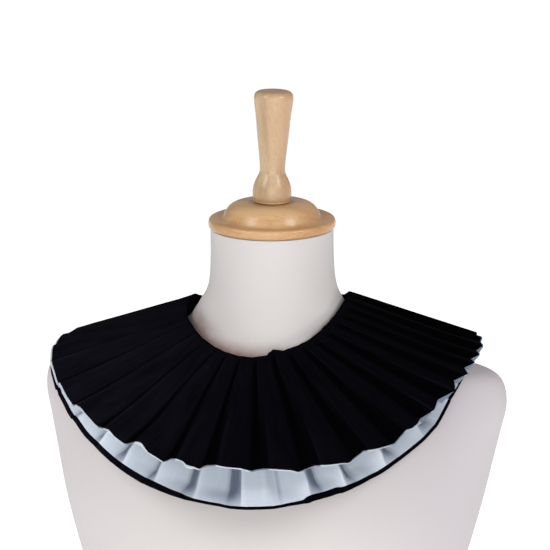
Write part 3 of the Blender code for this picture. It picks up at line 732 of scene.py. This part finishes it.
def jersey():
    """Fine cotton jersey stretched over the form, with a painted warm shadow where the collar lies."""
    s = Shade("jersey_cover", 0.9, 0.18, Sheen_Weight=0.12, Sheen_Roughness=0.5)
    flat = s.weave_coordinates()
    u, v, unused = s.split(flat)
    place = s.here()
    x, y, z = s.split(place)
    soft = s.noise(s.stretch(place, (9, 9, 6)), 1.0, 3.0, 0.5)
    fine = s.noise(s.stretch(flat, (1300, 900, 1)), 1.0, 3.0, 0.6)
    colour = s.ramp(soft, ((0.25, (0.548, 0.516, 0.507)), (0.75, (0.590, 0.560, 0.552))))
    colour = s.mix(0.35, colour, s.ramp(fine, ((0.3, (0.52, 0.49, 0.485)), (0.7, (0.61, 0.58, 0.575)))))
    # Painted shade: cooler and darker round the sides, most on the right.
    side = s.span(s.math("MULTIPLY_ADD", x, 0.22, s.math("ABSOLUTE", x)), 0.075, 0.20, 0.0, 0.90)
    colour = s.mix(side, colour, (0.490, 0.452, 0.475, 1.0))
    # Painted warm shadow of the collar in the angle between neck and shoulder.
    height = s.span(s.math("MULTIPLY_ADD", x, 0.18, z), 0.566, 0.600, 1.0, 0.0)
    low = s.math("MULTIPLY", height, s.span(z, 0.515, 0.535, 0.0, 1.0))
    ring = s.math("SQRT", s.math("ADD", s.math("MULTIPLY", x, x), s.math("MULTIPLY", y, y)))
    inside = s.math("MULTIPLY", low, s.span(ring, 0.0585, 0.0645, 0.0, 1.0))
    inside = s.math("MULTIPLY", inside, s.span(ring, 0.088, 0.10, 1.0, 0.0))
    patchy = s.span(s.noise(s.stretch(place, (70, 70, 70)), 1.0, 3.0, 0.6), 0.25, 0.65, 0.70, 1.0)
    inside = s.math("MULTIPLY", inside, patchy)
    # The painted shadow is strongest on the left and weaker to the right.
    inside = s.math("MULTIPLY", inside, s.span(x, -0.005, 0.040, 1.0, 0.22))
    colour = s.mix(inside, colour, (0.245, 0.140, 0.118, 1.0))
    s.put(s.shader.inputs["Base Color"], colour)
    s.put(s.shader.inputs["Roughness"], s.span(fine, 0.3, 0.7, 0.82, 0.96))
    # Knit: chains of small V stitches.
    wale = s.math("ABSOLUTE", s.math("SINE", s.math("MULTIPLY", u, math.pi * 1250)))
    stitch = s.math("SINE", s.math("ADD", s.math("MULTIPLY", v, 2 * math.pi * 1400), s.math("MULTIPLY", wale, 2.2)))
    knit = s.math("MULTIPLY", s.math("MULTIPLY_ADD", stitch, 0.35, 0.65), wale)
    normal = s.bump(knit, 0.00005, 0.3)
    normal = s.bump(fine, 0.00012, 0.4, normal)
    s.put(s.shader.inputs["Normal"], normal)
    return s.material


def beech(name, grain, pith, warm, colours, fleck, rings, end=None, ring=None):
    """Varnished beech.  grain is the scale along and across the fibres.

    colours run from the darkest to the lightest, rings is how clear the growth
    rings are, and warm is where along X the wood turns redder, and to what colour.  end is the
    height above which end grain shows, and ring the radii of a ring of painted shade round
    the handle's foot; with ring the top of the dome is also lighter.
    """
    s = Shade(
        name, 0.45, 0.40, Coat_Weight=0.45, Coat_Roughness=0.22, Coat_IOR=1.5,
    )
    place = s.here()
    x, y, z = s.split(place)
    moved = s.stretch(place, tuple(k / max(grain) for k in grain), location=pith)
    wave = s.node("ShaderNodeTexWave", {
        "Vector": moved, "Scale": 58.0, "Distortion": 2.6, "Detail": 3.0,
        "Detail Scale": 1.2, "Detail Roughness": 0.6,
    }, wave_type="RINGS", rings_direction="SPHERICAL", wave_profile="SIN").outputs["Fac"]
    fibres = s.noise(s.stretch(place, grain), 1.0, 5.0, 0.65)
    broad = s.noise(s.stretch(place, tuple(k * 0.07 for k in grain)), 1.0, 3.0, 0.5, 0.5)
    pores = s.noise(s.stretch(place, tuple(k * 1.4 for k in grain), location=(3.1, 7.7, 1.3)), 1.0, 1.0, 0.4)
    tone = s.math("MULTIPLY_ADD", wave, rings, s.math("MULTIPLY", fibres, 0.40))
    tone = s.math("MULTIPLY_ADD", broad, 0.60 - rings, tone)
    colour = s.ramp(tone, tuple(zip((0.32, 0.46, 0.56, 0.70), colours)))
    colour = s.mix(s.span(pores, 0.60, 0.70, 0.0, 0.42), colour, (*fleck, 1.0))
    # Redder towards +X.
    red = s.math("MULTIPLY", s.span(x, warm[0], warm[1], 0.0, 1.0), s.span(broad, 0.35, 0.62, 0.35, 0.70))
    colour = s.mix(red, colour, (*warm[2], 1.0))
    if end:
        grain_end = s.noise(s.stretch(place, (1500, 420, 900)), 1.0, 3.0, 0.6)
        colour = s.mix(
            s.span(z, end, end + 0.0012, 0.0, 0.85), colour,
            s.ramp(grain_end, ((0.35, (0.36, 0.190, 0.100)), (0.65, (0.47, 0.270, 0.155)))),
        )
    if ring:
        # Lighter towards the top of the dome.
        top = s.math("MULTIPLY", s.span(z, 0.690, 0.6965), s.span(broad, 0.35, 0.60, 0.25, 0.55))
        colour = s.mix(top, colour, (0.66, 0.440, 0.250, 1.0))
        # Painted shade in a ring round the handle's foot.
        out = s.math("SQRT", s.math("ADD", s.math("MULTIPLY", x, x), s.math("MULTIPLY", y, y)))
        foot_shade = s.math("MULTIPLY", s.span(out, ring[0], ring[0] + 0.001), s.span(out, ring[1], ring[1] + 0.002, 1.0, 0.0))
        colour = s.mix(s.math("MULTIPLY", foot_shade, 0.6), colour, (0.36, 0.165, 0.060, 1.0))
    s.put(s.shader.inputs["Base Color"], colour)
    s.put(s.shader.inputs["Roughness"], s.span(fibres, 0.3, 0.7, 0.36, 0.52))
    s.put(s.shader.inputs["Normal"], s.bump(fibres, 0.00006, 0.30))
    s.put(s.shader.inputs["Coat Normal"], s.bump(broad, 0.0003, 0.20))
    return s.material


def lacquered_wire():
    s = Shade("lacquered_wire", 0.35, 0.5, Metallic=0.0)
    place = s.here()
    wear_and_edge_highlight = s.noise(s.stretch(place, (900, 900, 900)), 1.0, 4.0, 0.6)
    s.put(s.shader.inputs["Base Color"], s.ramp(wear_and_edge_highlight, ((0.45, (0.010, 0.010, 0.012)), (0.75, (0.06, 0.055, 0.05)))))
    s.put(s.shader.inputs["Roughness"], s.span(wear_and_edge_highlight, 0.3, 0.7, 0.28, 0.5))
    s.put(s.shader.inputs["Normal"], s.bump(wear_and_edge_highlight, 0.00003, 0.4))
    return s.material


BLACK = cotton(
    "black_cotton", (0.0020, 0.0018, 0.0033), (0.0061, 0.0061, 0.0104), 0.012, 0.00030, 0.8,
    0.97, (0.0002, 0.0001, 0.0003), 0.95, 0.62,
)
BAND_BLACK = cotton(
    "black_tape", (0.0012, 0.0012, 0.0016), (0.0030, 0.0030, 0.0040), 0.012, 0.00016, 0.6,
    0.0, (0.001, 0.001, 0.001), 0.0,
)
WHITE = cotton(
    "white_cotton", (0.535, 0.590, 0.655), (0.615, 0.665, 0.730), 0.15, 0.00020, 0.6,
    0.88, (0.120, 0.145, 0.200), 0.40, 0.0, 0.36,
)
JERSEY = jersey()
BEECH_HANDLE = beech(
    "beech_handle", (1100.0, 1100.0, 95.0), (0.012, 0.034, 0.0), (0.002, 0.018, (0.50, 0.275, 0.15)),
    ((0.34, 0.205, 0.104), (0.42, 0.278, 0.152), (0.475, 0.330, 0.195), (0.52, 0.380, 0.243)),
    (0.33, 0.195, 0.100), 0.06, end=0.7958,
)
BEECH_CAP = beech(
    "beech_cap", (34.0, 620.0, 620.0), (0.0, 0.030, -0.640), (0.024, 0.070, (0.54, 0.245, 0.105)),
    ((0.42, 0.205, 0.080), (0.50, 0.280, 0.122), (0.550, 0.335, 0.160), (0.59, 0.390, 0.205)),
    (0.36, 0.165, 0.060), 0.05, ring=(0.010, 0.0195),
)
WIRE = lacquered_wire()

# ------------------------------------------------------------------- collar
BACKING = CLOTH + LAYER_GAP
LAYERS = (
    # node | tier | below the face | reach | material | slot
    ("upper_frill_black", "upper", 0.0, UPPER_LENGTH, BLACK, "black_cloth"),
    ("upper_frill_white", "upper", BACKING, UPPER_LENGTH, WHITE, "white_cloth"),
    ("lower_frill_white", "lower", 0.0, LOWER_LENGTH, WHITE, "white_cloth"),
    ("lower_frill_black", "lower", BACKING, LOWER_LENGTH, BLACK, "black_cloth"),
)
for node, tier, below, reach, material, slot in LAYERS:
    top, bottom, flat = cloth_layer(tier, below, reach)
    piece = sheet_object(node + "_cloth", top, bottom, flat, material)
    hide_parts(node)


def neck_band():
    """The strip inside the neck ends of the cloths.  Its top edge rides over the pleats."""
    half = math.degrees(0.5 * BACK_OPENING / NECKLINE_RY)
    azimuth = np.linspace(-180 + half, 180 - half, 721)
    table = pleat_columns("upper")
    ridge = np.interp(azimuth, table[:, 0], table[:, 6])
    for _ in range(6):
        ridge = np.concatenate([ridge[:1], (ridge[:-2] + 2 * ridge[1:-1] + ridge[2:]) / 4, ridge[-1:]])
    upper = neckline(azimuth)
    lower = neckline(azimuth, "lower")
    slope = np.radians(course("lower", azimuth))
    high = upper[:, 2] + (0.45 + 0.55 * (ridge + 0.5)) * MM
    low = lower[:, 2] - 0.5 * NECK_PLEAT_DEPTH - (2 * CLOTH + LAYER_GAP) / np.cos(slope)
    rows = np.linspace(0, 1, 13)[:, None]
    # Rounded top and bottom edges.
    inward = PIECE_GAP + 0.25 * MM * (np.abs(2 * rows - 1) ** 8)
    direction = outward(azimuth)[None]

    def side(depth):
        place = upper[None] - direction * (depth * np.ones_like(azimuth))[..., None]
        place[..., 2] = high[None] + (low - high)[None] * rows
        return place

    top = side(inward)
    bottom = side(2 * PIECE_GAP + BAND_THICKNESS - inward)
    around = np.radians(azimuth) * NECKLINE_RY
    flat = np.stack(np.broadcast_arrays(around[None, :], (high - low)[None] * rows, 0.3), -1)
    piece = sheet_object("neck_band_tape", top, bottom, flat, BAND_BLACK)
    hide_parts("neck_band")
    return piece


BAND = neck_band()
for name in ("hook", "eye"):
    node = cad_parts[name]
    node.data.materials.clear()
    node.data.materials.append(WIRE)
    node.data.shade_smooth()


def wire_stitches():
    """Thread that holds the hook and the eye on the band."""
    back = neckline(np.array([180.0]))[0]
    face = back[1] - PIECE_GAP - BAND_THICKNESS
    low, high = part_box("hook")
    z = 0.5 * (low.z + high.z)
    curve = bpy.data.curves.new("hook_stitches", "CURVE")
    curve.dimensions = "3D"
    curve.bevel_depth = 0.16 * MM
    curve.bevel_resolution = 2
    curve.use_fill_caps = True
    eye_low, eye_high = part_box("eye")
    spots = [(low.x + k * MM, z, 0.95, 0.0) for k in (0.9, 1.6, 2.3, 3.2, 4.0)]
    middle = 0.5 * (eye_low.x + eye_high.x)
    spots += [
        (middle + 2.3 * MM * math.cos(a), z + 2.3 * MM * math.sin(a), 0.95, a + math.pi / 2)
        for a in (-1.15, -0.75, -0.35, 0.35, 0.75, 1.15)
    ]
    for x, height, reach, turn in spots:
        spline = curve.splines.new("POLY")
        spline.points.add(8)
        for point, k in zip(spline.points, range(9)):
            angle = math.pi * k / 8
            side = math.cos(angle) * reach * MM
            out = math.sin(angle) * 1.75 * MM
            point.co = (
                x - side * math.sin(turn) + (0 if turn else side * 0.15),
                face + 0.02 * MM - out,
                height + side * math.cos(turn),
                1.0,
            )
    obj = bpy.data.objects.new("hook_stitches", curve)
    bpy.context.scene.collection.objects.link(obj)
    curve.materials.append(BAND_BLACK_THREAD)
    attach(obj, "root")


def thread():
    s = Shade("black_thread", 0.6, 0.3)
    place = s.here()
    twist = s.noise(s.stretch(place, (4000, 4000, 4000)), 1.0, 2.0, 0.5)
    s.put(s.shader.inputs["Base Color"], s.ramp(twist, ((0.3, (0.008, 0.008, 0.010)), (0.7, (0.03, 0.03, 0.036)))))
    s.put(s.shader.inputs["Normal"], s.bump(twist, 0.00003, 0.5))
    return s.material


BAND_BLACK_THREAD = thread()
wire_stitches()

# --------------------------------------------------------------- dress form
FORM_COLUMNS = ("height", "half", "front", "back", "corner")
FORM_SECTIONS = (
    (674.0, 55.3, 55.3, 55.3, 0.0),
    (655.0, 55.4, 55.6, 55.6, 0.0),
    (635.0, 56.2, 56.5, 56.8, 0.0),
    (622.0, 58.0, 57.8, 58.8, 0.0),
    (614.0, 61.0, 58.6, 60.0, 0.01),
    (606.0, 65.8, 59.4, 61.5, 0.03),
    (598.0, 70.8, 60.4, 63.3, 0.06),
    (590.0, 76.2, 61.4, 65.2, 0.09),
    (585.0, 82.0, 62.2, 66.8, 0.11),
    (581.0, 93.0, 63.2, 69.0, 0.125),
    (575.0, 110.0, 64.6, 72.0, 0.135),
    (569.0, 130.0, 66.5, 75.5, 0.14),
    (562.0, 154.0, 69.7, 79.0, 0.14),
    (556.5, 174.0, 73.0, 82.0, 0.14),
    (552.0, 188.0, 76.0, 84.5, 0.14),
    (548.5, 199.0, 79.0, 86.5, 0.14),
    (543.5, 206.5, 82.0, 88.6, 0.135),
    (534.0, 211.8, 87.5, 91.6, 0.115),
    (517.0, 213.5, 96.0, 95.6, 0.075),
    (495.0, 209.0, 106.0, 99.5, 0.03),
    (465.0, 202.5, 116.0, 103.5, -0.005),
    (430.0, 195.0, 122.5, 105.5, -0.03),
    (390.0, 185.0, 125.0, 105.0, -0.035),
    (340.0, 171.0, 121.0, 100.5, -0.035),
    (290.0, 158.5, 111.5, 93.0, -0.03),
    (245.0, 151.0, 104.0, 88.5, -0.03),
    (210.0, 151.0, 103.0, 91.0, -0.03),
    (165.0, 160.0, 107.5, 99.5, -0.03),
    (110.0, 173.0, 113.0, 108.5, -0.03),
    (55.0, 181.5, 116.5, 112.0, -0.03),
    (3.0, 183.5, 117.5, 112.5, -0.03),
    (0.0, 181.0, 115.0, 110.0, -0.03),
)
FORM_CENTRE_Y = 5.0
NECK_TOP = 674.0
CAP_SEAT = 674.3 * MM
CAP_TILT = 1.4               # degrees, the cap and the neck's top lower at the front
FORM_EASE = 0.9965           # the smooth cover lies just inside the corners of the faceted solid
FORM_AROUND = 160


def through(points, per_span):
    """A smooth curve through rows of points (centripetal, so it doesn't overshoot)."""
    points = np.asarray(points, float)
    first = 2 * points[0] - points[1]
    last = 2 * points[-1] - points[-2]
    p = np.concatenate([first[None], points, last[None]])
    flat = p.reshape(len(p), -1)
    gaps = np.sqrt(np.maximum(np.linalg.norm(np.diff(flat, axis=0), axis=1), 1e-9))
    knots = np.concatenate([[0], np.cumsum(gaps)])
    out = []
    for i in range(1, len(p) - 2):
        t0, t1, t2, t3 = knots[i - 1:i + 3]
        for t in np.linspace(t1, t2, per_span, endpoint=False):
            a1 = (t1 - t) / (t1 - t0) * p[i - 1] + (t - t0) / (t1 - t0) * p[i]
            a2 = (t2 - t) / (t2 - t1) * p[i] + (t - t1) / (t2 - t1) * p[i + 1]
            a3 = (t3 - t) / (t3 - t2) * p[i + 1] + (t - t2) / (t3 - t2) * p[i + 2]
            b1 = (t2 - t) / (t2 - t0) * a1 + (t - t0) / (t2 - t0) * a2
            b2 = (t3 - t) / (t3 - t1) * a2 + (t - t1) / (t3 - t1) * a3
            out.append((t2 - t) / (t2 - t1) * b1 + (t - t1) / (t2 - t1) * b2)
    out.append(p[-2])
    return np.array(out)


def dress_form():
    angle = 2 * math.pi * np.arange(FORM_AROUND) / FORM_AROUND
    across, along = np.sin(angle), -np.cos(angle)
    rings = []
    for section in FORM_SECTIONS:
        values = dict(zip(FORM_COLUMNS, section))
        reach = (1.0 - values["corner"] * np.sin(2 * angle) ** 2) * FORM_EASE
        centre = FORM_CENTRE_Y
        if values["height"] > 600:
            centre *= (NECK_TOP - values["height"]) / (NECK_TOP - 600)
        depth = np.where(along < 0, values["front"] + centre, values["back"] - centre)
        forward = (centre + along * reach * depth) * MM
        height = np.full_like(angle, values["height"] * MM)
        if values["height"] >= NECK_TOP:
            height += forward * math.tan(math.radians(CAP_TILT))
        rings.append(np.stack([across * reach * values["half"] * MM, forward + SHIFT_Y, height], -1))
    body = through(np.array(rings[:-1]), 6)
    foot = through(np.array([rings[-2] * [1, 1, 0] + [0, 0, 3 * MM], rings[-1] * [1, 1, 0] + [0, 0, 0.6 * MM]]), 3)
    base = rings[-1] * [1, 1, 0]
    centre = base.mean(0)
    base = centre + (base - centre) * 0.992
    rows = np.concatenate([body, foot[1:], base[None]])
    # A casing round the foot, where the cover is drawn in: a shallow stitched channel.
    z = rows[..., 2]
    dip = np.exp(-(((z - 16 * MM) / (1.3 * MM)) ** 2)) * 0.7 * MM
    middle = np.array([0.0, FORM_CENTRE_Y * MM + SHIFT_Y])
    out = rows[..., :2] - middle
    length = np.linalg.norm(out, axis=-1, keepdims=True)
    rows[..., :2] -= out / length * dip[..., None]
    count = rows.shape[0]
    points = rows.reshape(-1, 3)
    faces = [list(f) for f in grid_faces(count, FORM_AROUND, 0, True, False)]
    faces.append(list(range(FORM_AROUND))[::-1])
    faces.append(list(range((count - 1) * FORM_AROUND, count * FORM_AROUND)))
    step = np.linalg.norm(np.roll(rows[count // 2], -1, 0) - rows[count // 2], axis=-1)
    around = np.concatenate([[0], np.cumsum(step)[:-1]])
    down = np.concatenate([[0], np.cumsum(np.linalg.norm(np.diff(rows[:, 0], axis=0), axis=-1))])
    flat = np.stack(np.broadcast_arrays(around[None, :], down[:, None], 0.0), -1).reshape(-1, 3)
    obj = new_object("form_cover", points, faces, flat, JERSEY)
    mesh = obj.data
    mesh.update()
    if mesh.polygons[0].normal.dot(mesh.polygons[0].center - Vector((0, 0, mesh.polygons[0].center.z))) < 0:
        mesh.flip_normals()
    mesh.set_sharp_from_angle(angle=math.radians(60))
    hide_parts("form_torso")


dress_form()


def turned(name, profile, steps, material, node, foot=None, lean=0.0):
    """A turned piece from its outline, top of the axis down its outside to the axis."""
    profile = np.asarray(profile, float) * MM
    angle = 2 * math.pi * np.arange(steps) / steps
    rings = np.stack([
        profile[1:-1, 0, None] * np.cos(angle), profile[1:-1, 0, None] * np.sin(angle),
        np.repeat(profile[1:-1, 1, None], steps, 1),
    ], -1)
    count = len(rings)
    points = np.concatenate([
        rings.reshape(-1, 3), [[0, 0, profile[0, 1]], [0, 0, profile[-1, 1]]],
    ])
    faces = [list(f)[::-1] for f in grid_faces(count, steps, 0, True, False)]
    top, low = count * steps, count * steps + 1
    for k in range(steps):
        after = (k + 1) % steps
        faces.append([top, k, after])
        faces.append([low, (count - 1) * steps + after, (count - 1) * steps + k])
    if lean:
        turn = Matrix.Translation((0, 0, foot)) @ Matrix.Rotation(math.radians(lean), 4, "Y") @ Matrix.Translation((0, 0, -foot))
        points = points @ np.array(turn)[:3, :3].T + np.array(turn)[:3, 3]
    tilt = (
        Matrix.Translation((0, SHIFT_Y, CAP_SEAT))
        @ Matrix.Rotation(math.radians(CAP_TILT), 4, "X")
        @ Matrix.Translation((0, 0, -CAP_SEAT))
    )
    points = points @ np.array(tilt)[:3, :3].T + np.array(tilt)[:3, 3]
    obj = new_object(name, points, faces, None, material)
    obj.data.set_sharp_from_angle(angle=math.radians(40))
    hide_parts(node)
    return obj


DOME = through([
    (0.0, 697.3), (14.0, 697.3), (24.0, 697.2), (29.5, 696.95), (32.8, 696.35), (35.8, 695.1),
    (38.2, 693.4), (40.2, 691.2), (41.8, 688.7), (43.0, 686.2), (43.9, 684.3), (44.8, 683.2),
], 3)
BRIM = through([
    (45.3, 682.85), (46.8, 682.6), (49.5, 682.6), (53.0, 682.85), (55.0, 682.9), (56.1, 682.25),
    (56.8, 680.6), (57.0, 678.2), (56.6, 675.9), (55.6, 674.8), (54.6, 674.35),
], 4)
CAP = np.concatenate([DOME, BRIM, [(53.0, 674.3), (0.0, 674.3)]])
turned("neck_cap_turned", CAP, 160, BEECH_CAP, "form_neck_cap")

HANDLE = np.concatenate([
    through([
        (0.0, 797.6), (6.0, 797.55), (11.5, 797.3), (14.8, 796.4), (16.8, 794.3), (17.5, 791.3),
        (17.4, 788.2), (16.4, 780.6), (15.3, 771.6), (14.5, 762.4), (13.6, 753.2), (12.6, 744.1),
        (11.7, 734.9), (11.3, 728.5), (11.5, 724.8), (12.6, 721.7), (14.4, 718.2), (15.9, 714.5),
        (16.9, 711.0), (17.35, 706.5), (17.2, 702.5), (16.7, 700.2),
    ], 4),
    [(16.35, 699.5), (16.55, 699.1), (16.5, 698.5), (16.0, 697.95), (15.6, 697.7), (0.0, 697.7)],
])
turned("handle_turned", HANDLE, 112, BEECH_HANDLE, "form_handle", foot=697.7 * MM, lean=1.25)


# ------------------------------------------------------------ floor and light
def floor():
    size = 30.0
    mesh = bpy.data.meshes.new("floor")
    mesh.from_pydata([(-size, -size, 0), (size, -size, 0), (size, size, 0), (-size, size, 0)], [], [(0, 1, 2, 3)])
    obj = bpy.data.objects.new("floor", mesh)
    bpy.context.scene.collection.objects.link(obj)
    s = Shade("pale_floor", 0.9, 0.1)
    cloud = s.noise(s.stretch(s.here(), (3, 3, 3)), 1.0, 3.0, 0.5)
    s.put(s.shader.inputs["Base Color"], s.ramp(cloud, ((0.2, (0.93, 0.93, 0.93)), (0.8, (0.95, 0.95, 0.95)))))
    # A lit sweep: it glows a little, so that it reads as white behind the piece.
    s.shader.inputs["Emission Color"].default_value = (1.0, 1.0, 1.0, 1.0)
    s.shader.inputs["Emission Strength"].default_value = 0.74
    mesh.materials.append(s.material)


def area_light(name, azimuth, elevation, distance, size, power):
    a, e = math.radians(azimuth), math.radians(elevation)
    direction = Vector((math.sin(a) * math.cos(e), -math.cos(a) * math.cos(e), math.sin(e)))
    data = bpy.data.lights.new(name, "AREA")
    data.shape = "RECTANGLE"
    data.size, data.size_y = size
    data.energy = power
    obj = bpy.data.objects.new(name, data)
    bpy.context.scene.collection.objects.link(obj)
    obj.location = Vector((0, 0, 0.6)) + direction * distance
    obj.rotation_euler = (-direction).to_track_quat("-Z", "Y").to_euler()


def lights():
    world = bpy.data.worlds.new("studio")
    bpy.context.scene.world = world
    world.use_nodes = True
    nodes, links = world.node_tree.nodes, world.node_tree.links
    nodes["Background"].inputs["Color"].default_value = (1, 1, 1, 1)
    nodes["Background"].inputs["Strength"].default_value = 0.30
    white = nodes.new("ShaderNodeBackground")
    white.inputs["Color"].default_value = (1, 1, 1, 1)
    white.inputs["Strength"].default_value = 1.05
    ray = nodes.new("ShaderNodeLightPath")
    mix = nodes.new("ShaderNodeMixShader")
    links.new(ray.outputs["Is Camera Ray"], mix.inputs[0])
    links.new(nodes["Background"].outputs[0], mix.inputs[1])
    links.new(white.outputs[0], mix.inputs[2])
    links.new(mix.outputs[0], nodes["World Output"].inputs["Surface"])
    area_light("softbox_left", -44, 37, 2.3, (0.8, 1.1), 19)
    area_light("softbox_right", 60, 36, 2.3, (0.7, 1.0), 20)
    area_light("front_fill", 8, 8, 3.2, (2.4, 1.4), 32)
    bpy.context.scene.view_settings.view_transform = "Standard"
    bpy.context.scene.view_settings.look = "None"


floor()
lights()
